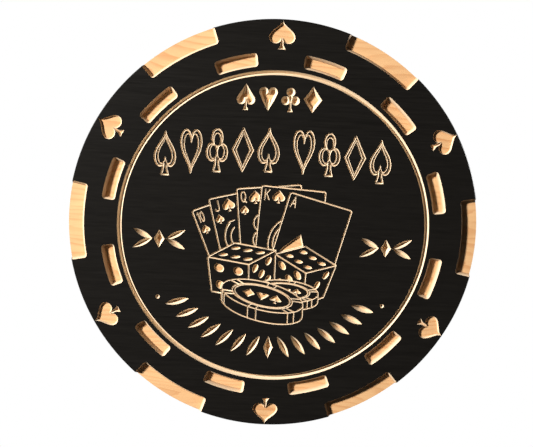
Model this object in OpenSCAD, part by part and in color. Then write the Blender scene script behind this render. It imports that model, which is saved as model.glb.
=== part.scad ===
// Round carved wall sign in the form of a poker chip: six edge-glued boards, carved on the face,
// with two D-ring hangers and four bumpers on the back.
// The face looks along -Y and +Z is up. The plane Y = 0 is the wall, and the origin is on it,
// behind the middle of the sign.

/* [Panel] */
// Diameter of the round panel
sign_d = 450; // [360:5:600]
// Thickness of the panel
panel_t = 19; // [16:0.5:30]
// Chamfer round the panel's two edges
edge_chamfer = 0.8; // [0.2:0.1:1.5]

/* [Rim pattern] */
// Distance from the panel's edge to the middle of the ring groove
rim_w = 56; // [46:1:70]
// Width of the ring groove at the face
groove_w = 5; // [3:0.5:7]
// Depth of the flat-bottomed pockets
pocket_depth = 5; // [3:0.5:6]
// Length of an edge block in from the panel's edge
block_len = 17.5; // [10:0.5:20]
// Angle that an edge block covers
block_arc = 22.5; // [16:0.5:28]
// Width of a dash across the rim
dash_w = 14.5; // [10:0.5:18]
// Length of a dash along the rim
dash_len = 46; // [30:1:50]
// Space between the ring groove's middle and the dashes
dash_gap = 7; // [4.5:0.5:8]
// Corner radius that the cutter leaves in the pockets
corner_r = 3.5; // [2:0.5:4]
// Height of a rim spade
spade_h = 30; // [20:1:32]
// Width of a rim spade
spade_w = 28; // [18:1:32]
// Space between a rim spade's tip and the panel's edge
spade_gap = 1.5; // [1:0.5:4]
// Depth of a rim spade
spade_depth = 2.2; // [1:0.1:5]

/* [Artwork] */
// Width of a carved line
line_w = 1.3; // [1:0.1:1.8]
// Depth of a carved line
line_depth = 1.1; // [0.6:0.1:2]
// Depth of the small solid shapes
shape_depth = 2.5; // [1:0.5:4]

/* [Hangers] */
// Distance of each hanger from the sign's middle line
hanger_x = 110; // [80:1:130]
// Distance from the panel's top down to the rings' hinge line
hanger_down = 90; // [80:1:110]
// Width of the hanger strap
strap_w = 12; // [10:0.5:15]
// Thickness of the hanger strap
strap_t = 1.2; // [0.8:0.1:1.4]
// Diameter of the ring's wire
wire_d = 2.6; // [2:0.1:2.8]
// Space between the strap's side and the ring's leg, on each side
ring_gap = 2; // [1.8:0.1:4]
// Distance from the ring's hinge line to the middle of its round end
ring_len = 13.5; // [12:0.5:17]
// Shank diameter of the hanger screws
screw_d = 3; // [2.5:0.1:3.5]
// Length of the hanger screws under the head
screw_len = 12; // [8:0.5:14]
// Head diameter of the hanger screws
screw_head_d = 6.6; // [6:0.1:7.5]
// Head height of the hanger screws
screw_head_h = 2; // [1.5:0.1:2.2]

/* [Bumpers] */
// Diameter of a bumper
bumper_d = 12.7; // [8:0.1:20]
// Height of a bumper, which is the space left for the hangers
bumper_h = 6.4; // [6.2:0.1:10]
// Distance from the panel's edge in to a bumper's middle
bumper_in = 25; // [12:1:60]

/* [Hidden] */
$fn = 72;
board_count = 6;
wire_clearance = 0.08;   // between the ring's wire and the strap's eye, all round
strap_lift = 0.4;        // the eye stands this much clear of the panel's back
hole_clearance = 0.2;    // between a screw's shank and the strap's hole, all round
past = 1;                // how far a cutting shape passes the surface that it cuts
sign_r = sign_d / 2;
board_w = sign_d / board_count;
back_y = -bumper_h;
face_y = back_y - panel_t;
ring_groove_r = sign_r - rim_w;
groove_depth = groove_w / 2 * tan(60);
dash_in_r = ring_groove_r + dash_gap;
dash_arc = dash_len / (dash_in_r + dash_w / 2) * 180 / PI;
spade_mid_r = sign_r - spade_gap - spade_h / 2;

// The artwork is drawn for a field of this radius inside the ring groove, and scaled to the real one.
drawn_field_r = 166.5;
art_scale = (ring_groove_r - groove_w / 2) / drawn_field_r;

eye_r = wire_d / 2 + wire_clearance;
hinge_y = back_y + strap_lift + strap_t + eye_r;
hanger_z = sign_r - hanger_down;
ring_half = strap_w / 2 + ring_gap + wire_d / 2;
ring_bend = 2.4;         // bend radius of the ring's two corners, to the wire's middle
ring_to_head = 2.9;      // from the hanging ring's round end to the upper screw's head
screw_pitch = 13;
strap_end_gap = 8;       // from the lower screw's middle to the strap's lower end
upper_drop = ring_len + wire_d / 2 + ring_to_head + screw_head_d / 2;
screw_drops = [upper_drop, upper_drop + screw_pitch];
strap_down = screw_drops[1] + strap_end_gap;
bumper_angles = [30, 150, 210, 330];

// ---- Flat shapes ----

// The point at angle t round an ellipse with its middle at c and its half-width a turned by tilt
function on_ellipse(c, a, b, tilt, t) = c + [a * cos(t) * cos(tilt) - b * sin(t) * sin(tilt),
                                             a * cos(t) * sin(tilt) + b * sin(t) * cos(tilt)];

function ellipse(c, a, b, tilt = 0, n = 36) =
    [for (i = [0 : n - 1]) on_ellipse(c, a, b, tilt, 360 * i / n)];

// A heart's outline, point down, filling a box of w by h round the origin
function heart(w, h) = [for (i = [0 : 39]) let (t = 9 * i)
    [w * pow(sin(t), 3) / 2,
     h * (13 * cos(t) - 5 * cos(2 * t) - 2 * cos(3 * t) - cos(4 * t) + 2.53) / 28.9]];

module diamond(w, h) polygon([[w / 2, 0], [0, h / 2], [-w / 2, 0], [0, -h / 2]]);

module stem(w, h) polygon([[-w / 16, h / 6], [-w / 14, -h / 3], [-w / 7, -h / 2],
                           [w / 7, -h / 2], [w / 14, -h / 3], [w / 16, h / 6]]);

module spade(w, h) {
    translate([0, h * 0.1]) polygon([for (p = heart(w, h * 0.8)) [p[0], -p[1]]]);
    stem(w, h);
}

module club(w, h) {
    for (c = [[0, 0.26], [-0.25, -0.06], [0.25, -0.06]])
        polygon(ellipse([c[0] * w, c[1] * h], w * 0.25, h * 0.24));
    stem(w, h);
}

// One suit's shape by number: spade, heart, club, diamond
module suit(kind, w, h) {
    if (kind == 0) spade(w, h);
    if (kind == 1) polygon(heart(w, h));
    if (kind == 2) club(w, h);
    if (kind == 3) diamond(w, h);
}

// A leaf with two pointed ends, along Y
module leaf(w, h) {
    r = (h * h + w * w) / (4 * w);
    intersection() {
        translate([r - w / 2, 0]) circle(r);
        translate([w / 2 - r, 0]) circle(r);
    }
}

// The point at distance r from c in direction a, which is 0 along +Y and turns clockwise
function at(c, r, a) = c + r * [sin(a), cos(a)];

function bend(c, r, a1, a2, n = 4) = [for (k = [0 : n]) at(c, r, a1 + (a2 - a1) * k / n)];

// Right half of a pocket that bends round the origin, from radius r1 to r2 and out to angle a, with
// the cutter's round corners at r1, and at r2 unless the pocket is open there
function pocket_side(r1, r2, a, open) =
    let (t1 = asin(corner_r / (r1 + corner_r)), t2 = asin(corner_r / (r2 - corner_r)))
    concat(bend([0, 0], r2, 0, open ? a : a - t2, 8),
           open ? [] : bend(at([0, 0], r2 - corner_r, a - t2), corner_r, a - t2, a + 90),
           bend(at([0, 0], r1 + corner_r, a - t1), corner_r, a + 90, a - t1 + 180),
           bend([0, 0], r1, a - t1, 0, 8));

// A right half from top to bottom, with its mirror image
function both_sides(half) = concat(half, [for (i = [len(half) - 2 : -1 : 1]) [-half[i][0], half[i][1]]]);

function unit(v) = v / norm(v);

// The place at distance d to the left of point b, between its neighbours a and c
function mitre(a, b, c, d) =
    let (u = unit(b - a), v = unit(c - b), n = [-u[1] - v[1], u[0] + v[0]])
    b + n * 2 * d / (n * n);

// A line's points moved d to its left. A closed line ends where it starts.
function beside(p, d) = let (n = len(p) - 1, closed = norm(p[n] - p[0]) < 0.01)
    [for (i = [0 : closed ? n - 1 : n])
        mitre(i > 0 ? p[i - 1] : closed ? p[n - 1] : 2 * p[0] - p[1], p[i],
              i < n ? p[i + 1] : 2 * p[n] - p[n - 1], d)];

module polyline(p, w) {
    left = beside(p, w / 2);
    right = beside(p, -w / 2);
    if (len(left) == len(p))
        polygon(concat(left, [for (i = [len(right) - 1 : -1 : 0]) right[i]]));
    else {
        outside = norm(left[0] - left[1]) > norm(right[0] - right[1]) ? left : right;
        difference() {
            polygon(outside);
            polygon(outside == left ? right : left);
        }
    }
}

module round_rect(w, h, r) {
    translate([r, 0]) square([w - 2 * r, h]);
    translate([0, r]) square([w, h - 2 * r]);
    for (x = [r, w - r], y = [r, h - r]) translate([x, y]) circle(r);
}

// ---- Emblem: a fan of five cards, two dice and two chips ----

card_w = 72;
card_h = 84;
card_r = 3;
card_corners = [[-91, 16.5], [-73, 30.5], [-43, 43.5], [-15.5, 48.5], [16.5, 42.5]];  // top left
card_turns = [22.5, 14.5, 6, -3.5, -14.5];
card_inset = [7.5, 10];       // the index's middle, in from the top left corner
index_h = 11;

// A card's index as lines in a box 1 wide and 2 high round the origin
function index_lines(k) = [
    [[[-0.55, 0.7], [-0.35, 1], [-0.35, -1]],
     [[0.3, 1], [0.55, 0.5], [0.55, -0.5], [0.3, -1], [0.05, -0.5], [0.05, 0.5], [0.3, 1]]],
    [[[0.4, 1], [0.4, -0.6], [0.1, -1], [-0.3, -0.7]]],
    [[[0, 1], [0.4, 0.5], [0.4, -0.5], [0, -1], [-0.4, -0.5], [-0.4, 0.5], [0, 1]],
     [[0.05, -0.4], [0.5, -1.1]]],
    [[[-0.4, 1], [-0.4, -1]], [[0.4, 1], [-0.4, -0.1]], [[-0.1, 0.2], [0.4, -1]]],
    [[[-0.45, -1], [0, 1], [0.45, -1]], [[-0.25, -0.3], [0.25, -0.3]]]][k];

module on_card(k) translate(card_corners[k]) rotate(card_turns[k]) children();

module card_fill(k) on_card(k) translate([0, -card_h]) round_rect(card_w, card_h, card_r);

module card_art(k) on_card(k) {
    difference() {
        translate([0, -card_h]) round_rect(card_w, card_h, card_r);
        translate([line_w, line_w - card_h])
            round_rect(card_w - 2 * line_w, card_h - 2 * line_w, card_r - line_w / 2);
    }
    translate([card_inset[0], -card_inset[1]])
        for (line = index_lines(k)) polyline([for (p = line) p * index_h / 2], line_w);
    if (k < 3) translate([card_inset[0], -card_inset[1] - 15]) spade(8, 9);
    if (k > 0 && k < 4) translate([card_inset[0] + 12, -card_inset[1] - 2]) spade(12, 14);
    if (k == 4) translate([24, -63]) spade(30, 42);
}

// A die is its top left corner and its edges: along its front, back to the right, and down from its
// left, front and right corners
left_die = [[-71, -34], [45.5, -6.5], [29, 17], [5.5, -38.5], [1, -38], [0, -36]];
right_die = [[3, -27.5], [35, -20], [33, 10], [-1, -34], [-1, -36], [-12, -36.5]];
pip_r = 0.1;
six = [for (u = [0.22, 0.5, 0.78], v = [0.28, 0.72]) [u, v]];
five = [[0.25, 0.25], [0.75, 0.25], [0.5, 0.5], [0.25, 0.75], [0.75, 0.75]];
four = [for (u = [0.27, 0.73], v = [0.27, 0.73]) [u, v]];
three = [[0.25, 0.75], [0.5, 0.5], [0.75, 0.25]];

// A die's outline, from its top left corner
function die_outline(d) = [d[0], d[0] + d[2], d[0] + d[1] + d[2], d[0] + d[1] + d[2] + d[5],
                           d[0] + d[1] + d[4], d[0] + d[3]];

module die_fill(d) polygon(die_outline(d));

// Pips on the face that starts at corner o, has edges e and f there, and edge g down its far side
module pips(o, e, f, g, places) for (p = places)
    polygon([for (c = ellipse(p, pip_r, pip_r, n = 20)) o + c[0] * e + c[1] * (f + c[0] * (g - f))]);

module die_art(d, front, side) {
    a = d[0];
    b = a + d[1];
    c = b + d[2];
    polyline(concat(die_outline(d), [a]), line_w);
    polyline([a, b, c], line_w);
    polyline([b, b + d[4]], line_w);
    pips(a, d[1], d[2], d[2], six);
    pips(a, d[1], d[3], d[4], front);
    pips(b, d[2], d[4], d[5], side);
}

// A chip is the middle of its top, its half-width, its half-height as seen, its tilt and its thickness
front_chip = [[-9, -75.5], 46.5, 16, -12, 13];
rear_chip = [[17, -68.5], 36, 12, -4, 9];
chip_marks = 6;

module chip_fill(c, inset = 0) {
    ends = [for (s = [1, -1]) s * (c[1] - inset) * [cos(c[3]), sin(c[3])]];
    low = c[0] - [0, c[4]];
    polygon(ellipse(c[0], c[1] - inset, c[2] - inset, c[3]));
    polygon(ellipse(low, c[1] - inset, c[2] - inset, c[3]));
    polygon([c[0] + ends[0], c[0] + ends[1], low + ends[1], low + ends[0]]);
}

// A point on a chip's top, at share s of its half-width and angle t round it
function chip_point(c, s, t) = on_ellipse(c[0], c[1] * s, c[2] * s, c[3], t);

module ellipse_line(c, s) difference() {
    polygon(ellipse(c[0], c[1] * s, c[2] * s, c[3]));
    polygon(ellipse(c[0], c[1] * s - line_w, c[2] * s - line_w, c[3]));
}

module chip_art(c) {
    difference() {
        chip_fill(c);
        chip_fill(c, line_w);
    }
    ellipse_line(c, 1);
    ellipse_line(c, 0.72);
    for (i = [0 : chip_marks - 1], side = [-6, 6]) {
        t = 20 + 360 / chip_marks * i + side;
        polyline([chip_point(c, 0.72, t), chip_point(c, 0.97, t),
                  if (t > 186 && t < 354) chip_point(c, 0.97, t) - [0, c[4]]], line_w);
    }
    translate(c[0]) rotate(c[3]) diamond(c[1] * 0.7, c[2] * 0.8);
}

module emblem() {
    for (k = [0 : 4]) difference() {
        card_art(k);
        for (j = [k + 1 : 1 : 4]) card_fill(j);
        die_fill(left_die);
        die_fill(right_die);
        chip_fill(front_chip);
    }
    difference() {
        union() {
            die_art(left_die, four, five);
            die_art(right_die, five, three);
        }
        chip_fill(front_chip);
        chip_fill(rear_chip);
    }
    difference() {
        chip_art(rear_chip);
        chip_fill(front_chip);
    }
    chip_art(front_chip);
}

// ---- The ornaments round the emblem ----

crest_x = [-36, -12, 12, 36];
crest_z = 142;
frieze_x = [-121, -93, -65, -37, -9, 29, 57, 85, 113];
frieze_z = 86;               // height of the frieze's middle
frieze_arch_r = 900;         // radius of the arch that its figures follow
frieze_w = 22;
frieze_h = 46;
side_x = 125;
side_z = -16;
garland_r = 134;
garland_half = 7;            // leaves on each side of the garland's middle
garland_step = 7.2;
dot_r = 149;
dot_angle = 57;

module crest() for (k = [0 : 3]) translate([crest_x[k], crest_z]) suit(k, 19, 27);

function arch_drop(x) = frieze_arch_r - sqrt(frieze_arch_r * frieze_arch_r - x * x);

// Tall suits, each drawn as two lines, one inside the other
module frieze() for (i = [0 : len(frieze_x) - 1])
    translate([frieze_x[i], frieze_z - arch_drop(frieze_x[i])])
        for (inset = [0, 5]) difference() {
            suit(i % 4, frieze_w - inset, frieze_h - inset);
            suit(i % 4, frieze_w - inset - 2 * line_w, frieze_h - inset - 3 * line_w);
        }

// A diamond between two pairs of leaves
module side_spray() {
    diamond(12, 20);
    for (s = [-1, 1], tilt = [62, 118]) translate([s * 18, (90 - tilt) * 0.18])
        rotate(-s * tilt) leaf(6, 24);
}

module garland() {
    translate([0, -garland_r]) diamond(11, 26);
    for (i = [1 : garland_half], s = [-1, 1]) rotate(s * i * garland_step)
        translate([0, -garland_r]) rotate(s * 24) leaf(7, 27);
    for (s = [-1, 1]) rotate(s * dot_angle) translate([0, -dot_r]) circle(2.3);
}

// ---- Cutting shapes for the face ----

// Holds solids that stand on Z = 0, which becomes the floor of a cut of this depth in the face
module cut_space(depth) translate([0, face_y + depth, 0]) rotate([90, 0, 0]) children();

module shape_cut(depth) cut_space(depth) linear_extrude(depth + past) children();

module art_cut(depth) shape_cut(depth) scale(art_scale) children();

module edge_block() shape_cut(pocket_depth)
    polygon(both_sides(pocket_side(sign_r - block_len, sign_r + past, block_arc / 2, true)));

module dash() shape_cut(pocket_depth)
    polygon(both_sides(pocket_side(dash_in_r, dash_in_r + dash_w, dash_arc / 2, false)));

module rim_spade() shape_cut(spade_depth) translate([0, spade_mid_r]) spade(spade_w, spade_h);

module ring_groove() cut_space(groove_depth) rotate_extrude() {
    top = groove_w / 2 * (1 + past / groove_depth);
    polygon([[ring_groove_r, 0], [ring_groove_r + top, groove_depth + past],
             [ring_groove_r - top, groove_depth + past]]);
}

// ---- Boards ----

function board_z(i) = -sign_r + i * board_w;

// Keeps a cut to the boards that it reaches: board i, and a cut from height z1 to z2
module where_cut(i, z1, z2) if (board_z(i + 1) > z1 && board_z(i) < z2) children();

// Six spades and six edge blocks take turns round the rim, with two dashes between spades
module rim_cuts(i) for (k = [0 : 5]) {
    for (a = [60 * k], z = [spade_mid_r * cos(a)]) where_cut(i, z - spade_h, z + spade_h)
        rotate([0, a, 0]) rim_spade();
    for (a = [60 * k + 30], z = [sign_r * cos(a)]) where_cut(i, z - 2 * dash_len, z + 2 * dash_len)
        rotate([0, a, 0]) edge_block();
    for (a = [60 * k + 15, 60 * k + 45], z = [dash_in_r * cos(a)])
        where_cut(i, z - dash_len, z + dash_len) rotate([0, a, 0]) dash();
}

module art_cuts(i) {
    where_cut(i, 120 * art_scale, sign_r) art_cut(shape_depth) crest();
    where_cut(i, 50 * art_scale, 115 * art_scale) art_cut(line_depth) frieze();
    where_cut(i, -105 * art_scale, 60 * art_scale) art_cut(line_depth) emblem();
    where_cut(i, -35 * art_scale, 5 * art_scale) art_cut(shape_depth)
        for (s = [-1, 1]) translate([s * side_x, side_z]) side_spray();
    where_cut(i, -155 * art_scale, -55 * art_scale) art_cut(shape_depth) garland();
}

module panel() translate([0, back_y, 0]) rotate([90, 0, 0]) rotate_extrude()
    polygon([[0, 0], [sign_r - edge_chamfer, 0], [sign_r, edge_chamfer],
             [sign_r, panel_t - edge_chamfer], [sign_r - edge_chamfer, panel_t], [0, panel_t]]);

module board(i) color([0.13, 0.12, 0.11]) difference() {
    intersection() {
        panel();
        translate([-sign_r, face_y - past, board_z(i)]) cube([sign_d, panel_t + 2 * past, board_w]);
    }
    where_cut(i, -sign_r, sign_r) ring_groove();
    rim_cuts(i);
    art_cuts(i);
    for (s = [-1, 1]) at_hanger(s) where_cut(i, hanger_z - strap_down, hanger_z) screw_shanks();
}

// ---- Hangers: each is drawn round the middle of its hinge line ----

module at_hanger(s) translate([s * hanger_x, hinge_y, hanger_z]) children();

plate_y = back_y - hinge_y;  // the strap's back, seen from the hinge line

// Lays a profile drawn in Y and Z across the strap's width
module across_strap() rotate([90, 0, 90]) linear_extrude(strap_w, center = true) children();

// A flat strap with a half-round lower end, and at its top a closed eye for the ring's straight side
module strap_blank() {
    across_strap() {
        neck = 2 * eye_r + strap_t;
        difference() {
            union() {
                circle(eye_r + strap_t);
                polygon([[plate_y, -neck], [plate_y + strap_t, -neck], [-eye_r, 0],
                         [-eye_r - strap_t, 0]]);
            }
            circle(eye_r);
        }
        translate([plate_y, strap_w / 2 - strap_down])
            square([strap_t, strap_down - strap_w / 2 - neck]);
    }
    translate([0, plate_y, strap_w / 2 - strap_down]) rotate([-90, 0, 0])
        cylinder(r = strap_w / 2, h = strap_t);
}

module strap() color([0.78, 0.66, 0.38]) difference() {
    strap_blank();
    for (drop = screw_drops) translate([0, plate_y - past, -drop]) rotate([-90, 0, 0])
        cylinder(r = screw_d / 2 + hole_clearance, h = strap_t + 2 * past);
}

// Part of a ring of wire in the plane of X and Z, from angle a0 over an arc
module wire_arc(r, a0, arc) rotate([90, 0, 0]) rotate([0, 0, a0]) rotate_extrude(angle = arc)
    translate([r, 0]) circle(wire_d / 2);

module wire(p, q) translate(p) rotate([q[0] == p[0] ? 180 : 0, q[0] == p[0] ? 0 : 90, 0])
    cylinder(r = wire_d / 2, h = norm(q - p));

// Hangs down from its straight side, which turns in the strap's eye
module d_ring() color([0.78, 0.66, 0.38]) {
    side_x = ring_half - ring_bend;
    end_z = ring_half - ring_len;
    wire([-side_x, 0, 0], [side_x, 0, 0]);
    for (s = [-1, 1]) {
        translate([s * side_x, 0, -ring_bend]) wire_arc(ring_bend, s > 0 ? 0 : 90, 90);
        wire([s * ring_half, 0, -ring_bend], [s * ring_half, 0, end_z]);
    }
    translate([0, 0, end_z]) wire_arc(ring_half, 180, 180);
}

// Both screws' shanks, from the strap's face to their points in the board
module screw_shanks() for (drop = screw_drops) translate([0, plate_y + strap_t, -drop])
    rotate([90, 0, 0]) {
        point = screw_d;
        cylinder(d = screw_d, h = screw_len - point);
        translate([0, 0, screw_len - point]) cylinder(d1 = screw_d, d2 = 0, h = point);
    }

// A flat round head with a chamfered rim and a cross recess
module screw_heads() for (drop = screw_drops) translate([0, plate_y + strap_t, -drop])
    rotate([-90, 0, 0]) difference() {
        r = screw_head_d / 2;
        rotate_extrude() polygon([[0, 0], [r, 0], [r, screw_head_h / 2],
                                  [r - screw_head_h / 2, screw_head_h], [0, screw_head_h]]);
        for (a = [0, 90]) rotate([0, 0, a]) translate([0, 0, screw_head_h])
            cube([r * 1.2, screw_d / 4, screw_head_h * 1.2], center = true);
    }

module hanger_strap(s) at_hanger(s) strap();

module hanger_ring(s) at_hanger(s) d_ring();

module hanger_screws(s) at_hanger(s) color([0.8, 0.72, 0.45]) {
    screw_shanks();
    screw_heads();
}

// ---- Bumpers ----

module bumper(i) color([0.2, 0.2, 0.2]) rotate([0, -bumper_angles[i], 0])
    translate([sign_r - bumper_in, back_y, 0]) rotate([-90, 0, 0]) {
        r = bumper_d / 2;
        lip = bumper_h / 6;
        rotate_extrude() polygon([[0, 0], [r, 0], [r - lip / 2, bumper_h - lip],
                                  [r - 1.5 * lip, bumper_h], [0, bumper_h]]);
    }

board(0);  // board_1
board(1);  // board_2
board(2);  // board_3
board(3);  // board_4
board(4);  // board_5
board(5);  // board_6
hanger_strap(-1);  // hanger_strap_left
hanger_strap(1);  // hanger_strap_right
hanger_ring(-1);  // hanger_ring_left
hanger_ring(1);  // hanger_ring_right
hanger_screws(-1);  // hanger_screws_left
hanger_screws(1);  // hanger_screws_right
bumper(0);  // bumper_1
bumper(1);  // bumper_2
bumper(2);  // bumper_3
bumper(3);  // bumper_4
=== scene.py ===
"""A round poker-chip wall sign: black paint over six edge-glued pine boards, V-carved down to bare wood.

The drawing is in millimetres, in the plane of the carved face: x to the right and z up from the
middle of the sign, as (x, z) pairs. Depths go into the face. Blender's objects are in metres."""

import itertools
import math

import bmesh
import bpy
import numpy as np
from mathutils import Matrix, Vector


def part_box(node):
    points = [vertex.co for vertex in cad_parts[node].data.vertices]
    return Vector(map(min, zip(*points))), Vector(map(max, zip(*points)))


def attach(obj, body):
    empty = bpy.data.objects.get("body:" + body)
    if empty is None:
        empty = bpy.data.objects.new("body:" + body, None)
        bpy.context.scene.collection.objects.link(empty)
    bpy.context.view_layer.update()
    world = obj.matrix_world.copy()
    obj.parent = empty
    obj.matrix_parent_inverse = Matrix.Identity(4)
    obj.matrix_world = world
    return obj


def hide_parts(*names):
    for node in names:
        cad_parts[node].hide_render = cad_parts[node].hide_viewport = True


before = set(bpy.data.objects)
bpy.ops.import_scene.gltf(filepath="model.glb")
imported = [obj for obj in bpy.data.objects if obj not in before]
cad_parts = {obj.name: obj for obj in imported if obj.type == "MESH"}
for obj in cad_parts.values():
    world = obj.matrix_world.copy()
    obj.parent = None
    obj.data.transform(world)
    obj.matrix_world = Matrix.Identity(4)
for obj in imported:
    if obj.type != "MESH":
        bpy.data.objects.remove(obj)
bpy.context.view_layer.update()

MM = 0.001
TAU = 2 * math.pi

# ---- Sizes from the frame ----

BOARDS = [f"board_{i}" for i in range(1, 7)]
panel_lo, panel_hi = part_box("board_3")
PANEL_R = panel_hi.x / MM
FACE_Y = panel_lo.y
BACK_Y = panel_hi.y
EDGE_CHAMFER = 0.8

# ---- Sizes of the carving, for a 225 mm panel radius ----

POCKET_DEPTH = 5.0
BIT_SLOPE = math.tan(math.radians(30))  # a 60 degree V-bit cuts this far out for each mm of depth
ABOVE = 0.6  # the cutting shapes rise this far above the face
RING_R = PANEL_R - 56
RING_W = 5.0
BLOCK_LEN, BLOCK_ARC = 17.5, 22.5
DASH_IN, DASH_W, DASH_LEN = RING_R + 7, 14.5, 46
CORNER_R = 3.5
SPADE_W, SPADE_H, SPADE_GAP, SPADE_DEPTH = 28, 30, 1.5, 2.2
LINE_W, THIN_LINE_W = 1.75, 1.5
PIP_DEPTH = 1.8
CELL = 11.3  # the boards are slit into squares this wide before they are carved
SMALLEST_AREA = 0.04  # of a pocket, in square mm: a bit's point would leave no mark that small


# ---- Flat geometry ----

def add(p, q):
    return (p[0] + q[0], p[1] + q[1])


def along(p, q, t):
    return (p[0] + (q[0] - p[0]) * t, p[1] + (q[1] - p[1]) * t)


def turned(p, degrees):
    c, s = math.cos(math.radians(degrees)), math.sin(math.radians(degrees))
    return (p[0] * c - p[1] * s, p[0] * s + p[1] * c)


def compass(c, r, degrees):
    """The point r from c in a direction that is 0 up and turns clockwise."""
    return (c[0] + r * math.sin(math.radians(degrees)), c[1] + r * math.cos(math.radians(degrees)))


def bend(c, r, a1, a2, n):
    """Points on an arc round c, from direction a1 to a2 in n steps."""
    return [compass(c, r, a1 + (a2 - a1) * k / n) for k in range(n + 1)]


def on_ellipse(c, a, b, tilt, degrees):
    p = (a * math.cos(math.radians(degrees)), b * math.sin(math.radians(degrees)))
    return add(c, turned(p, tilt))


def ellipse(c, a, b, tilt=0, n=24):
    return [on_ellipse(c, a, b, tilt, 360 * k / n) for k in range(n)]


def cross(o, a, b):
    return (a[0] - o[0]) * (b[1] - o[1]) - (a[1] - o[1]) * (b[0] - o[0])


def hull(points):
    """Convex outline round the points, anticlockwise."""
    def chain(ordered):
        out = []
        for p in ordered:
            while len(out) > 1 and cross(out[-2], out[-1], p) <= 1e-9:
                out.pop()
            out.append(p)
        return out[:-1]
    ordered = sorted(set(points))
    return chain(ordered) + chain(ordered[::-1])


def edges(outline):
    return list(zip(outline, outline[1:] + outline[:1]))


def clipped(outline, a, b):
    """The part of an outline to the right of the line from a to b."""
    out = []
    for p, q in edges(outline):
        dp, dq = cross(a, b, p), cross(a, b, q)
        if dp <= 0:
            out.append(p)
        if dp * dq < 0:
            out.append(along(p, q, dp / (dp - dq)))
    return hull(out) if len(out) > 2 else []


def uncovered(outlines, covers):
    """Convex outlines less convex covers, as convex outlines that may overlap each other."""
    for cover in covers:
        outlines = [part for o in outlines for a, b in edges(cover) if len(part := clipped(o, a, b)) > 2]
        outlines = [list(o) for o in dict.fromkeys(tuple(o) for o in outlines)]
    return outlines


def seen(segments, covers):
    """Line segments less what lies inside convex covers."""
    for cover in covers:
        left = []
        for p, q in segments:
            t0, t1 = 0.0, 1.0
            for a, b in edges(cover):
                dp, dq = cross(a, b, p), cross(a, b, q)
                if dp < 0 and dq < 0:
                    t0, t1 = 1.0, 0.0
                elif dp < 0:
                    t0 = max(t0, dp / (dp - dq))
                elif dq < 0:
                    t1 = min(t1, dp / (dp - dq))
            if t0 >= t1:
                left.append((p, q))
                continue
            if t0 > 1e-6:
                left.append((p, along(p, q, t0)))
            if t1 < 1 - 1e-6:
                left.append((along(p, q, t1), q))
        segments = left
    return segments


def path(points, closed=False):
    """The segments that join points in their order."""
    ends = points[1:] + points[:1] if closed else points[1:]
    return list(zip(points, ends))


# ---- Cutting shapes ----

cutters = []  # (object, lowest z, highest z), in millimetres


def at_face(p, depth):
    """A point on the face or in it, in millimetres."""
    return Vector((p[0], FACE_Y / MM + depth, p[1]))


def keep_cutter(bm, name):
    bmesh.ops.recalc_face_normals(bm, faces=bm.faces)
    if bm.calc_volume(signed=True) < 0:
        bmesh.ops.reverse_faces(bm, faces=bm.faces)
    bmesh.ops.scale(bm, verts=bm.verts, vec=(MM, MM, MM))
    mesh = bpy.data.meshes.new(name)
    bm.to_mesh(mesh)
    bm.free()
    zs = [v.co.z / MM for v in mesh.vertices]
    cutters.append((bpy.data.objects.new(name, mesh), min(zs), max(zs)))


def discard_cutters():
    for cutter, _, _ in cutters:
        bpy.data.objects.remove(cutter)
    cutters.clear()


def cut_hull(points):
    """A cutter that is the convex hull of (x, z, depth) points."""
    bm = bmesh.new()
    for x, z, d in points:
        bm.verts.new(at_face((x, z), d))
    bmesh.ops.convex_hull(bm, input=bm.verts)
    bmesh.ops.delete(bm, geom=[v for v in bm.verts if not v.link_faces], context="VERTS")
    keep_cutter(bm, "cut_hull")


def cut_line(p, q, w, sides=12):
    """One straight pass of the V-bit."""
    r = w / 2
    top_r = r + ABOVE * BIT_SLOPE
    top = [(*compass(c, top_r, 360 * k / sides), -ABOVE) for c in (p, q) for k in range(sides)]
    cut_hull(top + [(*p, r / BIT_SLOPE), (*q, r / BIT_SLOPE)])


def cut_lines(segments, w):
    for p, q in segments:
        cut_line(p, q, w)


def cut_shape(outline, depth=POCKET_DEPTH):
    """A convex pocket whose walls lean in at the bit's slope, down to a flat floor if it is wide enough."""
    outline = hull([(round(x, 3), round(z, 3)) for x, z in outline])
    if len(outline) < 3 or sum(cross((0, 0), a, b) for a, b in edges(outline)) / 2 < SMALLEST_AREA:
        return
    planes = []  # inside is where the plane's (x, z, depth, 1) product is 0 or more
    for a, b in edges(outline):
        length = math.dist(a, b)
        n = (-(b[1] - a[1]) / length, (b[0] - a[0]) / length)
        planes.append((n[0], n[1], -BIT_SLOPE, -(n[0] * a[0] + n[1] * a[1])))
    planes += [(0, 0, 1, ABOVE), (0, 0, -1, depth)]
    planes = np.array(planes)
    triples = np.array(list(itertools.combinations(range(len(planes)), 3)))
    m, c = planes[triples][:, :, :3], -planes[triples][:, :, 3]
    sound = np.abs(np.linalg.det(m)) > 1e-7
    corners = np.linalg.solve(m[sound], c[sound][:, :, None])[:, :, 0]
    inside = (corners @ planes[:, :3].T + planes[:, 3] > -1e-6).all(axis=1)
    points = {tuple(round(float(v), 5) for v in p) for p in corners[inside]}
    if len(points) > 3:
        cut_hull(sorted(points))


def cut_shapes(outlines, depth=POCKET_DEPTH):
    for o in outlines:
        cut_shape(o, depth)


MITRE = 0.8  # limits how far a sharp corner moves


def inset(outline, d):
    """A closed anticlockwise outline moved in by d."""
    out = []
    for i, b in enumerate(outline):
        a, c = outline[i - 1], outline[(i + 1) % len(outline)]
        u, v = (Vector((q[0] - p[0], q[1] - p[1])).normalized() for p, q in ((a, b), (b, c)))
        n = Vector((-u.y - v.y, u.x + v.x))
        out.append(tuple(Vector(b) + n * (2 * d / max(n.dot(n), MITRE))))
    return out


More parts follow.
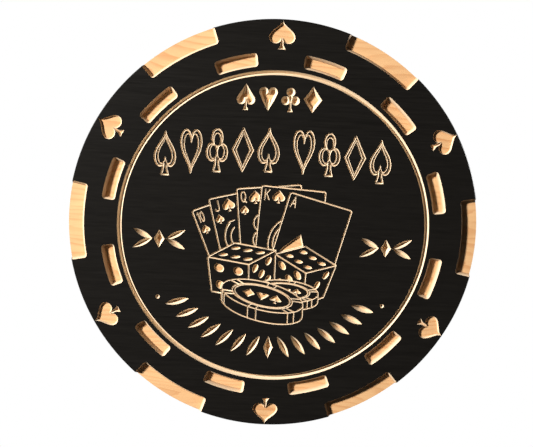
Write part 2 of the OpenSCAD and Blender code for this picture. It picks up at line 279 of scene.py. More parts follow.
def cut_loft(levels):
    """A cutter from outlines of equal length, one above the other, as (outline, depth) pairs."""
    bm = bmesh.new()
    rings = [[bm.verts.new(at_face(p, d)) for p in outline] for outline, d in levels]
    for low, high in zip(rings, rings[1:]):
        for i in range(len(low)):
            j = (i + 1) % len(low)
            bm.faces.new((low[i], low[j], high[j], high[i]))
    bm.faces.new(rings[0])
    bm.faces.new(rings[-1])
    bmesh.ops.remove_doubles(bm, verts=bm.verts, dist=1e-5)
    keep_cutter(bm, "cut_loft")


# ---- Rim ----

def pocket_side(r1, r2, half_arc, in_by, is_open):
    """Right half of a pocket that bends round the sign's middle, with each side moved in by in_by."""
    c = CORNER_R - in_by
    t1 = math.degrees(math.asin(CORNER_R / (r1 + CORNER_R)))
    t2 = math.degrees(math.asin(CORNER_R / (r2 - CORNER_R)))
    if is_open:
        outer = bend((0, 0), r2, 0, half_arc - math.degrees(math.asin(in_by / r2)), 12)
    else:
        outer = bend((0, 0), r2 - in_by, 0, half_arc - t2, 12)
        outer += bend(compass((0, 0), r2 - CORNER_R, half_arc - t2), c, half_arc - t2, half_arc + 90, 6)[1:]
    inner = bend(compass((0, 0), r1 + CORNER_R, half_arc - t1), c, half_arc + 90, half_arc - t1 + 180, 6)
    return outer + inner + bend((0, 0), r1 + in_by, half_arc - t1, 0, 12)[1:]


def rim_pocket(r1, r2, half_arc, angle, is_open=False):
    levels = []
    for d in (-ABOVE, POCKET_DEPTH):
        half = pocket_side(r1, r2, half_arc, d * BIT_SLOPE, is_open)
        whole = half + [(-x, z) for x, z in half[-2:0:-1]]
        levels.append(([turned(p, -angle) for p in whole], d))
    cut_loft(levels)


def ring_groove(sides=360):
    half = RING_W / 2
    profile = [(RING_R, half / BIT_SLOPE), (RING_R + half + ABOVE * BIT_SLOPE, -ABOVE),
               (RING_R - half - ABOVE * BIT_SLOPE, -ABOVE)]
    bm = bmesh.new()
    rows = [[bm.verts.new(at_face(compass((0, 0), r, 360 * k / sides), d)) for r, d in profile]
            for k in range(sides)]
    for a, b in zip(rows, rows[1:] + rows[:1]):
        for i in range(3):
            j = (i + 1) % 3
            bm.faces.new((a[i], a[j], b[j], b[i]))
    keep_cutter(bm, "cut_ring")


# ---- Suits, as convex outlines for solid shapes and as segments for drawn ones ----

def stem(w, h):
    foot = [(-w * 0.15, -h / 2), (w * 0.15, -h / 2), (0, -h * 0.26)]
    return [hull([(-w * 0.045, h * 0.1), (w * 0.045, h * 0.1), (-w * 0.06, -h / 2), (w * 0.06, -h / 2)]),
            hull(foot)]


def lobes(w, tip, level, side_level):
    """Two round lobes and a point, which make a heart or a spade."""
    r = w * 0.255
    halves = [hull([(0, tip)] + ellipse((s * (w / 2 - r), level), r, r * 1.02, n=20)
                   + [(s * w * 0.335, side_level)]) for s in (-1, 1)]
    return halves + [hull([(0, tip), (-w * 0.4, level), (w * 0.4, level)])]


def suit_shapes(kind, w, h):
    if kind == "spade":
        return lobes(w, h / 2, -h * 0.1, h * 0.13) + stem(w, h)
    if kind == "heart":
        return lobes(w, -h / 2, h * 0.22, -h * 0.08)
    if kind == "club":
        places = ((0, h * 0.25), (-w * 0.26, -h * 0.07), (w * 0.26, -h * 0.07))
        rounds = [ellipse(c, w * 0.24, w * 0.24) for c in places]
        return rounds + [ellipse((0, 0), w * 0.13, h * 0.16)] + stem(w, h)
    return [[(w / 2, 0), (0, h / 2), (-w / 2, 0), (0, -h / 2)]]


def placed(outlines, centre, angle=0):
    """Outlines turned by angle and then moved to centre."""
    return [[add(turned(p, angle), centre) for p in o] for o in outlines]


def heart_curve(w, h, n=40):
    """A heart's outline, w by h round (0, 0), clockwise from its notch."""
    curve = []
    for k in range(n):
        t = TAU * k / n
        z = 13 * math.cos(t) - 5 * math.cos(2 * t) - 2 * math.cos(3 * t) - math.cos(4 * t)
        curve.append((w * math.sin(t) ** 3 / 2, h * (z + 2.53) / 28.9))
    return curve


def spade_body(w, h):
    """An inverted heart, anticlockwise, without a spade's stem."""
    return [(x, h * 0.1 - z) for x, z in heart_curve(w, h * 0.8, n=60)]


def stem_lines(w, h, top):
    side = [(w * 0.07, top), (w * 0.08, -h * 0.34), (w * 0.17, -h / 2)]
    return side + [(-x, z) for x, z in side[::-1]]


def suit_lines(kind, w, h, with_stem=True):
    """A suit's outline as segments."""
    if kind == "diamond":
        return path(suit_shapes(kind, w, h)[0], closed=True)
    if kind == "heart":
        return path(heart_curve(w, h), closed=True)
    trunk = stem_lines(w, h, -h * 0.12)
    body = spade_body(w, h)
    if kind == "spade" and not with_stem:
        return path(body, closed=True)
    if kind == "spade":
        halves = [hull([p for p in body if s * p[0] > -0.01]) for s in (-1, 1)]
        return seen(path(body, closed=True), [hull(trunk)]) + seen(path(trunk), halves)
    leaves = [ellipse(c, w * 0.25, h * 0.2, n=32)
              for c in ((0, h * 0.29), (-w * 0.25, -h * 0.05), (w * 0.25, -h * 0.05))]
    out = seen(path(trunk), leaves) if with_stem else []
    for leaf_outline in leaves:
        others = [o for o in leaves if o is not leaf_outline] + ([hull(trunk)] if with_stem else [])
        out += seen(path(leaf_outline, closed=True), others)
    return out


def leaf(w, h):
    """Two arcs that meet in a point at the top and bottom."""
    r = (h * h + w * w) / (4 * w)
    reach = math.degrees(math.asin(h / 2 / r))
    right = bend((w / 2 - r, 0), r, 90 - reach, 90 + reach, 10)
    return right + [(-x, -z) for x, z in right[1:-1]]


# ---- Emblem: five cards, two dice and two chips, each hidden by what lies in front of it ----

CARD_W, CARD_H, CARD_R = 72, 84, 3
# The top left corner and the tilt of each card
CARDS = (((-91, 16.5), 22.5), ((-73, 30.5), 14.5), ((-43, 43.5), 6), ((-15.5, 48.5), -3.5),
         ((16.5, 42.5), -14.5))
INDEX_AT, INDEX_H = (7.5, -10), 11
# Spades on a card, as middle, width and height, and the tilt of the ace's
INDEX_SPADE = ((8, -24.5), 9.5, 10.5)
COURT_SPADE = ((20.5, -11), 14, 15)
ACE_SPADE, ACE_TILT = ((24, -63), 30, 42), -4
# The marks 10, J, Q, K and A, in half heights from their middles
INDEX_LINES = (
    ([(-0.6, 0.65), (-0.35, 1), (-0.35, -1)], ellipse((0.28, 0), 0.32, 1, n=14) + [(0.6, 0)]),
    ([(0.4, 1), (0.4, -0.6), (0.25, -0.93), (0, -1), (-0.25, -0.9), (-0.38, -0.6)],),
    (ellipse((0, 0), 0.45, 1, n=14) + [(0.45, 0)], [(0.05, -0.5), (0.5, -1.15)]),
    ([(-0.4, 1), (-0.4, -1)], [(0.45, 1), (-0.4, -0.15)], [(-0.12, 0.2), (0.45, -1)]),
    ([(-0.48, -1), (0, 1), (0.48, -1)], [(-0.3, -0.3), (0.3, -0.3)]),
)


def on_card(k, p):
    """A point on a card, from the card's top left corner."""
    corner, tilt = CARDS[k]
    return add(turned(p, tilt), corner)


def card_outline(k, in_by=0.0):
    r = CARD_R - in_by
    out = []
    for cx, cz, start in ((CARD_W - CARD_R, -CARD_R, 0), (CARD_W - CARD_R, CARD_R - CARD_H, 90),
                          (CARD_R, CARD_R - CARD_H, 180), (CARD_R, -CARD_R, 270)):
        out += bend((cx, cz), r, start, start + 90, 4)
    return hull([on_card(k, p) for p in out])


def court_lines(k):
    """Sweeping folds that stand for the picture on a court card."""
    if k == 1:
        folds = [bend((31, -49), r, 225, 322, 14) for r in (22, 15.5)] + [[(13, -36), (17, -30), (23, -29)]]
    elif k == 2:
        folds = [bend((27, -40), 10, 200, 352, 12), bend((27, -59), 12, 205, 350, 12),
                 bend((27, -40), 5, 200, 352, 8), bend((27, -59), 7, 205, 350, 8)]
    else:
        folds = [bend((46, -62), r, 250, 336, 14) for r in (32, 27, 21)]
    lines = []
    for fold in folds:
        lines += path([on_card(k, p) for p in fold])
    return lines


def draw_card(k, covers):
    segments = path(card_outline(k, LINE_W / 2), closed=True)
    marks = []
    for line in INDEX_LINES[k]:
        half = INDEX_H / 2
        marks += path([on_card(k, add(INDEX_AT, (x * half, z * half))) for x, z in line])
    if 0 < k < 4:
        segments += court_lines(k)
    cut_lines(seen(segments, covers), LINE_W)
    cut_lines(seen(marks, covers), THIN_LINE_W)
    pips = [INDEX_SPADE] if k < 3 else []
    if 0 < k < 4:
        pips.append(COURT_SPADE)
    if k == 4:
        pips = [ACE_SPADE]
    tilt = ACE_TILT if k == 4 else 0
    for at, w, h in pips:
        outlines = [[on_card(k, p) for p in o] for o in placed(suit_shapes("spade", w, h), at, tilt)]
        cut_shapes(uncovered([hull(o) for o in outlines], covers), PIP_DEPTH)


# A die is its top left corner, the edges along its front and back to the right, and the edges that
# go down from its left, front and right corners
LEFT_DIE = ((-71, -34), (45.5, -6.5), (29, 17), ((5.5, -38.5), (1, -38), (0, -36)))
RIGHT_DIE = ((3, -27.5), (35, -20), (33, 10), ((-1, -34), (-1, -36), (-12, -36.5)))
SIX = [(u, v) for u in (0.2, 0.5, 0.8) for v in (0.27, 0.73)]
FIVE = [(0.25, 0.22), (0.75, 0.22), (0.5, 0.5), (0.25, 0.78), (0.75, 0.78)]
FOUR = [(u, v) for u in (0.26, 0.74) for v in (0.26, 0.76)]
THREE = [(0.25, 0.75), (0.5, 0.5), (0.75, 0.25)]


def die_faces(die):
    """The top, front and right face, each as its four corners."""
    a, front, side, (down_a, down_b, down_c) = die
    b, back = add(a, front), add(a, side)
    c = add(b, side)
    return (a, b, c, back), (a, b, add(b, down_b), add(a, down_a)), (b, c, add(c, down_c), add(b, down_b))


def die_outline(die):
    return hull([p for face in die_faces(die) for p in face])


def draw_die(die, front_pips, side_pips, covers):
    faces = die_faces(die)
    (a, b, c, _), (_, _, low_b, _), _ = faces
    lines = path(die_outline(die), closed=True) + [(a, b), (b, c), (b, low_b)]
    cut_lines(seen(lines, covers), LINE_W)
    for (p, q, r, s), places, size in zip(faces, (SIX, front_pips, side_pips), (0.1, 0.125, 0.12)):
        for u, v in places:
            pip = [along(along(p, q, x), along(s, r, x), y) for x, y in ellipse((u, v), size, size, n=18)]
            cut_shapes(uncovered([hull(pip)], covers), PIP_DEPTH)


# A chip is the middle of its top, its half-width, its half-height as seen, its tilt and its thickness
FRONT_CHIP = ((-9, -75.5), 46.5, 16, -12, 13)
REAR_CHIP = ((17, -68.5), 36, 12, -4, 9)
CHIP_BAND, CHIP_FIELD = 0.74, 0.68  # the two rings on a chip's top, as shares of its size


def chip_outline(chip):
    c, a, b, tilt, thick = chip
    return hull(ellipse(c, a, b, tilt, 48) + ellipse(add(c, (0, -thick)), a, b, tilt, 48))


def draw_chip(chip, covers):
    c, a, b, tilt, thick = chip
    lines = path(chip_outline(chip), closed=True)
    for share in (1, CHIP_BAND, CHIP_FIELD):
        lines += path(ellipse(c, a * share, b * share, tilt, 48), closed=True)
    # Marks across the top's edge, which go on down the side that is seen
    for mark in range(6):
        for side in (-6, 6):
            t = 20 + 60 * mark + side
            rim = on_ellipse(c, a, b, tilt, t)
            lines.append((on_ellipse(c, a * CHIP_BAND, b * CHIP_BAND, tilt, t), rim))
            if 186 < t < 354:
                lines.append((rim, add(rim, (0, -thick))))
    cut_lines(seen(lines, covers), THIN_LINE_W)
    for kind, shift in (("diamond", -0.33), ("heart", 0), ("spade", 0.33)):
        marks = placed(suit_shapes(kind, a * 0.3, a * 0.62), (a * shift, 0))
        flat = [hull([add(c, turned((x, z * b / a), tilt)) for x, z in o]) for o in marks]
        cut_shapes(uncovered(flat, covers), PIP_DEPTH)


def carve_emblem():
    cards = [card_outline(k) for k in range(5)]
    dice = [die_outline(LEFT_DIE), die_outline(RIGHT_DIE)]
    front, rear = chip_outline(FRONT_CHIP), chip_outline(REAR_CHIP)
    for k in range(5):
        draw_card(k, cards[k + 1:] + dice + [front])
    draw_die(LEFT_DIE, FOUR, FIVE, [front, rear])
    draw_die(RIGHT_DIE, FIVE, THREE, [dice[0], front, rear])
    draw_chip(REAR_CHIP, [front])
    draw_chip(FRONT_CHIP, [])


# ---- Ornaments round the emblem ----

SUITS = ("spade", "heart", "club", "diamond")
CREST_X, CREST_Z, CREST_SIZE = (-36, -12, 12, 36), 142, (20, 28)
FRIEZE_X, FRIEZE_Z, FRIEZE_ARCH_R = (-121, -93, -65, -37, -9, 29, 57, 85, 113), 86, 900
FRIEZE_W, FRIEZE_H = 22, 46
FRIEZE_LINES = ((0, 2.0), (6.5, 1.4))  # how much smaller each outline is, and its line's width
SIDE_X, SIDE_Z, SIDE_LEAF, SIDE_DIAMOND = 125, -16, (6, 24), (12, 20)
GARLAND_R, GARLAND_STEP, GARLAND_LEAF, GARLAND_DIAMOND = 134, 7.2, (7, 27), (11, 26)
DOT_R, DOT_OUT, DOT_ANGLE = 2.3, 149, 57


def carve_ornaments():
    for suit, x in zip(SUITS, CREST_X):
        cut_shapes(placed(suit_shapes(suit, *CREST_SIZE), (x, CREST_Z)))
    for i, x in enumerate(FRIEZE_X):
        z = FRIEZE_Z - FRIEZE_ARCH_R + math.sqrt(FRIEZE_ARCH_R ** 2 - x * x)
        for less, w in FRIEZE_LINES:
            lines = suit_lines(SUITS[i % 4], FRIEZE_W - less, FRIEZE_H - less * 1.3, with_stem=not less)
            cut_lines([(add(p, (x, z)), add(q, (x, z))) for p, q in lines], w)
    for s in (-1, 1):
        middle = (s * SIDE_X, SIDE_Z)
        cut_shapes(placed(suit_shapes("diamond", *SIDE_DIAMOND), middle))
        for end in (-1, 1):
            for tilt in (62, 118):
                at = add(middle, (end * 18, (90 - tilt) * 0.18))
                cut_shapes(placed([leaf(*SIDE_LEAF)], at, -end * tilt))
        dot = turned((0, -DOT_OUT), s * DOT_ANGLE)
        cut_shape(ellipse(dot, DOT_R, DOT_R))
    cut_shapes(placed(suit_shapes("diamond", *GARLAND_DIAMOND), (0, -GARLAND_R)))
    for i in range(1, 8):
        for s in (-1, 1):
            spot = turned((0, -GARLAND_R), s * i * GARLAND_STEP)
            cut_shapes(placed([leaf(*GARLAND_LEAF)], spot, s * (i * GARLAND_STEP + 24)))


def spade_level(depth):
    """A rim spade's body at a depth. Its sides lean in, and meet on its middle line short of the tip."""
    body = spade_body(SPADE_W, SPADE_H)
    moved = inset(body, depth * BIT_SLOPE)
    if depth <= 0:
        return moved
    apart = [p[0] * q[0] > 0 or q[1] < 0 for p, q in zip(moved, body)]
    tip = (0, max(p[1] for p, is_apart in zip(moved, apart) if is_apart))
    return [p if is_apart else tip for p, is_apart in zip(moved, apart)]


def carve_rim():
    ring_groove()
    for k in range(6):
        rim_pocket(PANEL_R - BLOCK_LEN, PANEL_R + 1, BLOCK_ARC / 2, 60 * k + 30, is_open=True)
        half_dash = math.degrees(DASH_LEN / 2 / (DASH_IN + DASH_W / 2))
        for offset in (15, 45):
            rim_pocket(DASH_IN, DASH_IN + DASH_W, half_dash, 60 * k + offset)
        middle = compass((0, 0), PANEL_R - SPADE_GAP - SPADE_H / 2, 60 * k)
        cut_loft([(placed([spade_level(d)], middle, -60 * k)[0], d) for d in (-ABOVE, SPADE_DEPTH)])
        cut_shapes(placed(stem(SPADE_W, SPADE_H), middle, -60 * k), SPADE_DEPTH)


# ---- Boards ----

def slice_ring(r, z1, z2, n=48):
    """Outline of the part of a disc of radius r between two heights."""
    a1, a2 = (math.degrees(math.asin(max(-1.0, min(1.0, z / r)))) for z in (z1, z2))
    right = [compass((0, 0), r, 90 - (a1 + (a2 - a1) * k / n)) for k in range(n + 1)]
    return right + [(-x, z) for x, z in right[::-1]]


def slit(bm, place, normal):
    geometry = bm.verts[:] + bm.edges[:] + bm.faces[:]
    bmesh.ops.bisect_plane(bm, geom=geometry, plane_co=place, plane_no=normal, dist=1e-7)


def board_blank(name):
    z1, z2 = (corner.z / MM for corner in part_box(name))
    thick = (BACK_Y - FACE_Y) / MM
    levels = [(PANEL_R - EDGE_CHAMFER, 0), (PANEL_R, EDGE_CHAMFER), (PANEL_R, thick - EDGE_CHAMFER),
              (PANEL_R - EDGE_CHAMFER, thick)]
    bm = bmesh.new()
    rings = [[bm.verts.new(at_face(p, d) * MM) for p in slice_ring(r, z1, z2)] for r, d in levels]
    for low, high in zip(rings, rings[1:]):
        for i in range(len(low)):
            j = (i + 1) % len(low)
            bm.faces.new((low[i], low[j], high[j], high[i]))
    bm.faces.new(rings[0])
    bm.faces.new(rings[-1])
    bmesh.ops.remove_doubles(bm, verts=bm.verts, dist=1e-6)
    bmesh.ops.recalc_face_normals(bm, faces=bm.faces)
    # Small cells keep each face simple once it is carved
    for x in np.arange(-PANEL_R + CELL / 2, PANEL_R, CELL):
        slit(bm, Vector((x * MM, 0, 0)), Vector((1, 0, 0)))
    for z in np.arange(z1 + CELL / 2, z2 - 1, CELL):
        slit(bm, Vector((0, 0, z * MM)), Vector((0, 0, 1)))
    mesh = bpy.data.meshes.new(f"{name}_carved")
    bm.to_mesh(mesh)
    bm.free()
    return mesh, z1, z2


def carve(mesh, z1, z2):
    """The mesh less every cutter that reaches it."""
    scene = bpy.context.scene
    tools = bpy.data.collections.new("Cutters")
    scene.collection.children.link(tools)
    for cutter, low, high in cutters:
        if high > z1 - 0.5 and low < z2 + 0.5:
            tools.objects.link(cutter)
    blank = bpy.data.objects.new("Blank", mesh)
    scene.collection.objects.link(blank)
    cut = blank.modifiers.new("Cut", "BOOLEAN")
    cut.operation, cut.solver = "DIFFERENCE", "MANIFOLD"
    cut.operand_type, cut.collection = "COLLECTION", tools
    graph = bpy.context.evaluated_depsgraph_get()
    carved = bpy.data.meshes.new_from_object(blank.evaluated_get(graph))
    bpy.data.objects.remove(blank)
    bpy.data.collections.remove(tools)
    return carved


PAINT, BARE, BACK = 0, 1, 2
TINY = 1e-5
SOFT_ANGLE = math.radians(28)


def dress_board(mesh):
    """Gives each face its finish by where it lies, and marks the sharp edges."""
    bm = bmesh.new()
    bm.from_mesh(mesh)
    bmesh.ops.triangulate(bm, faces=[f for f in bm.faces if len(f.verts) > 4])
    for f in bm.faces:
        c = f.calc_center_median()
        outward = f.normal.x * c.x + f.normal.z * c.z
        on_rim = math.hypot(c.x, c.z) > (PANEL_R - EDGE_CHAMFER) * MM - TINY and outward > 0
        if c.y > BACK_Y - TINY:
            f.material_index = BACK
        elif c.y < FACE_Y + TINY or on_rim:
            f.material_index = PAINT
        else:
            f.material_index = BARE
        f.smooth = abs(f.normal.y) < 0.999  # what lies flat stays flat
    for e in bm.edges:
        faces = e.link_faces
        e.smooth = (len(faces) == 2 and faces[0].material_index == faces[1].material_index
                    and e.calc_face_angle(0) < SOFT_ANGLE)
    bm.to_mesh(mesh)
    bm.free()


# ---- Materials ----

def material(name):
    m = bpy.data.materials.new(name)
    m.use_nodes = True
    return m, m.node_tree, m.node_tree.nodes["Principled BSDF"]


def node(tree, kind, **values):
    n = tree.nodes.new(kind)
    for key, value in values.items():
        if key in n.inputs:
            n.inputs[key].default_value = value
        else:
            setattr(n, key, value)
    return n


def maths(tree, operation, a, b=0.5, c=0.5):
    n = tree.nodes.new("ShaderNodeMath")
    n.operation = operation
    for socket, value in zip(n.inputs, (a, b, c)):
        if isinstance(value, bpy.types.NodeSocket):
            tree.links.new(value, socket)
        else:
            socket.default_value = value
    return n.outputs[0]


def vectors(tree, operation, a, b):
    n = tree.nodes.new("ShaderNodeVectorMath")
    n.operation = operation
    for socket, value in zip(n.inputs, (a, b)):
        if isinstance(value, bpy.types.NodeSocket):
            tree.links.new(value, socket)
        else:
            socket.default_value = value
    return n.outputs[0]


def noise(tree, place, stretch, detail=3.0):
    """Noise over a place in millimetres, with a size in millimetres for each axis."""
    scaled = vectors(tree, "MULTIPLY", place, tuple(1 / s for s in stretch))
    n = node(tree, "ShaderNodeTexNoise", Scale=1.0, Detail=detail, Roughness=0.55)
    tree.links.new(scaled, n.inputs["Vector"])
    return n.outputs["Fac"]


def ramp(tree, value, stops):
    n = tree.nodes.new("ShaderNodeValToRGB")
    while len(n.color_ramp.elements) < len(stops):
        n.color_ramp.elements.new(0.5)
    for element, (position, colour) in zip(n.color_ramp.elements, stops):
        element.position = position
        element.color = (*colour, 1)
    tree.links.new(value, n.inputs["Fac"])
    return n.outputs["Color"]


def mix(tree, share, a, b):
    n = node(tree, "ShaderNodeMix", data_type="RGBA")
    for socket, value in ((n.inputs[0], share), (n.inputs[6], a), (n.inputs[7], b)):
        if isinstance(value, bpy.types.NodeSocket):
            tree.links.new(value, socket)
        else:
            socket.default_value = (*value, 1) if isinstance(value, tuple) else value
    return n.outputs[2]


def times(tree, a, b):
    """Two colours multiplied."""
    n = node(tree, "ShaderNodeMix", data_type="RGBA", blend_type="MULTIPLY")
    n.inputs[0].default_value = 1.0
    tree.links.new(a, n.inputs[6])
    tree.links.new(b, n.inputs[7])
    return n.outputs[2]


def length_of(tree, a, b):
    squares = [maths(tree, "MULTIPLY", value, value) for value in (a, b)]
    return maths(tree, "SQRT", maths(tree, "ADD", *squares))


def parts_of(tree, vector):
    n = tree.nodes.new("ShaderNodeSeparateXYZ")
    tree.links.new(vector, n.inputs[0])
    return n.outputs["X"], n.outputs["Y"], n.outputs["Z"]


def bump(tree, shader, height, distance, strength):
    n = node(tree, "ShaderNodeBump", Distance=distance, Strength=strength)
    tree.links.new(height, n.inputs["Height"])
    tree.links.new(n.outputs["Normal"], shader.inputs["Normal"])


def place_mm(tree):
    coords = tree.nodes.new("ShaderNodeTexCoord")
    return vectors(tree, "MULTIPLY", coords.outputs["Object"], (1000.0, 1000.0, 1000.0))


def board_place(tree):
    """The place in millimetres, moved by a different amount in each board so that their grain differs."""
    here = place_mm(tree)
    board_w = 2 * PANEL_R / len(BOARDS)
    up = maths(tree, "ADD", parts_of(tree, here)[2], PANEL_R)
    chance = node(tree, "ShaderNodeTexWhiteNoise", noise_dimensions="1D")
    tree.links.new(maths(tree, "FLOOR", maths(tree, "DIVIDE", up, board_w)), chance.inputs["W"])
    moved = vectors(tree, "MULTIPLY", chance.outputs["Color"], (900.0, 36.0, 260.0))
    return here, vectors(tree, "ADD", here, moved)


LOG_W = 130.0  # the grain repeats its rings at this height
YEAR = 4.3  # width of a year's ring


def pine_colour(tree, place, fibre, early, late):
    """Colour and latewood of flat-sawn pine with its grain along X, cut close to the pith."""
    x, y, z = parts_of(tree, place)
    sway = noise(tree, place, (210.0, 40.0, 40.0), detail=1.0)
    wobble = noise(tree, place, (46.0, 7.0, 7.0), detail=2.0)
    strength = noise(tree, place, (120.0, 16.0, 16.0), detail=1.0)
    blotch = noise(tree, place, (60.0, 14.0, 14.0), detail=2.0)
    pith_y = maths(tree, "ADD", maths(tree, "MULTIPLY_ADD", x, 0.055, y), maths(tree, "MULTIPLY", sway, 46.0))
    pith_z = maths(tree, "SUBTRACT", maths(tree, "WRAP", z, LOG_W, 0.0), LOG_W / 2)
    waved = maths(tree, "MULTIPLY_ADD", wobble, 3.4, length_of(tree, pith_y, pith_z))
    years = maths(tree, "FRACT", maths(tree, "DIVIDE", waved, YEAR))
    latewood = ramp(tree, years, ((0.0, (0, 0, 0)), (0.52, (0.10, 0.10, 0.10)), (0.84, (0.8, 0.8, 0.8)),
                                  (0.93, (1, 1, 1)), (1.0, (0.05, 0.05, 0.05))))
    dark = maths(tree, "MULTIPLY", latewood, maths(tree, "MULTIPLY_ADD", strength, 1.3, -0.1))
    wood = mix(tree, dark, early, late)
    warm = mix(tree, blotch, (0.80, 0.76, 0.72), (1.0, 1.0, 1.0))
    streak = mix(tree, fibre, (0.84, 0.80, 0.76), (1.0, 1.0, 1.0))
    return times(tree, times(tree, wood, warm), streak), latewood


def cut_edges(tree, here, colour):
    """End grain on the sides of each cut, with painted shade that darkens the rim pockets' walls towards
    their floor, and paint over its top edge.
    """
    x, y, z = parts_of(tree, here)
    normal = tree.nodes.new("ShaderNodeNewGeometry").outputs["True Normal"]
    steep = maths(tree, "SUBTRACT", 1.0, maths(tree, "ABSOLUTE", parts_of(tree, normal)[1]))
    depth = maths(tree, "SUBTRACT", y, FACE_Y / MM)
    in_rim = maths(tree, "GREATER_THAN", length_of(tree, x, z), RING_R + RING_W)
    # Painted shade: the walls of the rim's pockets are coloured darker the deeper they go, standing in for
    # the shadow inside the pockets
    painted_pocket_shade = maths(tree, "MULTIPLY", in_rim, maths(tree, "DIVIDE", depth, POCKET_DEPTH))
    side_grain_with_painted_shade = mix(tree, painted_pocket_shade, (0.74, 0.62, 0.45), (0.34, 0.21, 0.115))
    colour = mix(tree, maths(tree, "MULTIPLY", steep, 1.5), colour, side_grain_with_painted_shade)
    ragged = noise(tree, here, (1.1, 0.35, 0.45), detail=3.0)
    painted = maths(tree, "LESS_THAN", depth, maths(tree, "MULTIPLY_ADD", ragged, 0.14, -0.02))
    return mix(tree, painted, colour, (0.012, 0.010, 0.009))


def pine(name, early, late, is_carved):
    m, tree, shader = material(name)
    here, place = board_place(tree)
    fibre = noise(tree, place, (14.0, 0.5, 0.5), detail=3.0)
    colour, latewood = pine_colour(tree, place, fibre, early, late)
    if is_carved:
        colour = cut_edges(tree, here, colour)
    tree.links.new(colour, shader.inputs["Base Color"])
    tree.links.new(maths(tree, "MULTIPLY_ADD", fibre, 0.25, 0.42), shader.inputs["Roughness"])
    shader.inputs["Specular IOR Level"].default_value = 0.35
    height = maths(tree, "ADD", fibre, maths(tree, "MULTIPLY", latewood, 0.35))
    bump(tree, shader, height, 0.00012, 0.35)
    return m


def black_paint():
    """Thin satin paint that lets the grain of the board show through."""
    m, tree, shader = material("Black_Paint")
    here, place = board_place(tree)
    fibre = noise(tree, place, (26.0, 0.7, 0.7), detail=4.0)
    streaks = noise(tree, place, (120.0, 3.2, 3.2), detail=3.0)
    peel = noise(tree, here, (1.6, 1.6, 1.6), detail=2.0)
    specks = noise(tree, here, (0.9, 0.9, 0.6), detail=1.0)
    tone = maths(tree, "ADD", maths(tree, "MULTIPLY", fibre, 0.6), maths(tree, "MULTIPLY", streaks, 0.4))
    colour = ramp(tree, tone, ((0.32, (0.0050, 0.0044, 0.0038)), (0.70, (0.0105, 0.0093, 0.0080))))
    dust = ramp(tree, specks, ((0.80, (0, 0, 0)), (0.84, (1, 1, 1))))
    tree.links.new(mix(tree, dust, colour, (0.05, 0.042, 0.036)), shader.inputs["Base Color"])
    tree.links.new(maths(tree, "MULTIPLY_ADD", fibre, 0.16, 0.27), shader.inputs["Roughness"])
    shader.inputs["Specular IOR Level"].default_value = 0.18
    height = maths(tree, "ADD", fibre, maths(tree, "MULTIPLY", peel, 0.3))
    bump(tree, shader, height, 0.00010, 0.55)
    return m


def metal(name, colour, dull, grain, rough=0.26):
    """Plated metal with fine wear: duller, darker patches and short scratches along grain."""
    m, tree, shader = material(name)
    here = place_mm(tree)
    patch = noise(tree, here, (7.0, 7.0, 7.0), detail=3.0)
    scratch = noise(tree, here, grain, detail=3.0)
    wear = ramp(tree, patch, ((0.35, (0, 0, 0)), (0.75, (1, 1, 1))))
    tree.links.new(mix(tree, wear, colour, dull), shader.inputs["Base Color"])
    shader.inputs["Metallic"].default_value = 1.0
    uneven = maths(tree, "MULTIPLY_ADD", patch, 0.12, rough - 0.14)
    tree.links.new(maths(tree, "MULTIPLY_ADD", scratch, 0.22, uneven), shader.inputs["Roughness"])
    bump(tree, shader, scratch, 0.00003, 0.5)
    return m


def rubber():
    m, tree, shader = material("Bumper_Rubber")
    here = place_mm(tree)
    grit = noise(tree, here, (0.35, 0.35, 0.35), detail=3.0)
    bloom = noise(tree, here, (5.0, 5.0, 5.0), detail=2.0)
    colour = ramp(tree, bloom, ((0.3, (0.018, 0.018, 0.019)), (0.75, (0.034, 0.033, 0.033))))
    tree.links.new(colour, shader.inputs["Base Color"])
    tree.links.new(maths(tree, "MULTIPLY_ADD", grit, 0.25, 0.52), shader.inputs["Roughness"])
    bump(tree, shader, grit, 0.00004, 0.6)
    return m


# ---- Boards in place ----

carve_rim()
carve_ornaments()
carve_emblem()

board_materials = (
    black_paint(),
    pine("Carved_Pine", (0.84, 0.515, 0.255), (0.66, 0.30, 0.115), is_carved=True),
    pine("Back_Pine", (0.78, 0.52, 0.28), (0.58, 0.29, 0.125), is_carved=False),
)


def add_piece(name, mesh, materials, node_name, body):
    for m in materials:
        mesh.materials.append(m)
    piece = bpy.data.objects.new(name, mesh)
    bpy.context.scene.collection.objects.link(piece)
    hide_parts(node_name)
    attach(piece, body)
    return piece


for board in BOARDS:
    blank, low_z, high_z = board_blank(board)
    carved = carve(blank, low_z, high_z)
    carved.materials.clear()
    dress_board(carved)
    add_piece(f"{board}_carved", carved, board_materials, board, "root")
    print(board, len(carved.polygons), "faces")

discard_cutters()


# ---- Hangers and bumpers ----

STRAP_T, STRAP_EDGE_R = 1.2, 0.16
RING_TURN = 2.4  # radius of the D's two corners, to the middle of the wire
SHANK_R = 1.5
RECESS_ANGLES, RECESS_DEPTH = (18, 108), 1.35


def smooth_by_angle(bm, degrees=30):
    for f in bm.faces:
        f.smooth = True
    for e in bm.edges:
        e.smooth = len(e.link_faces) == 2 and e.calc_face_angle(0) < math.radians(degrees)


def finished_mesh(bm, name, sharp=30):
    bmesh.ops.recalc_face_normals(bm, faces=bm.faces)
    smooth_by_angle(bm, sharp)
    mesh = bpy.data.meshes.new(name)
    bm.to_mesh(mesh)
    bm.free()
    return mesh


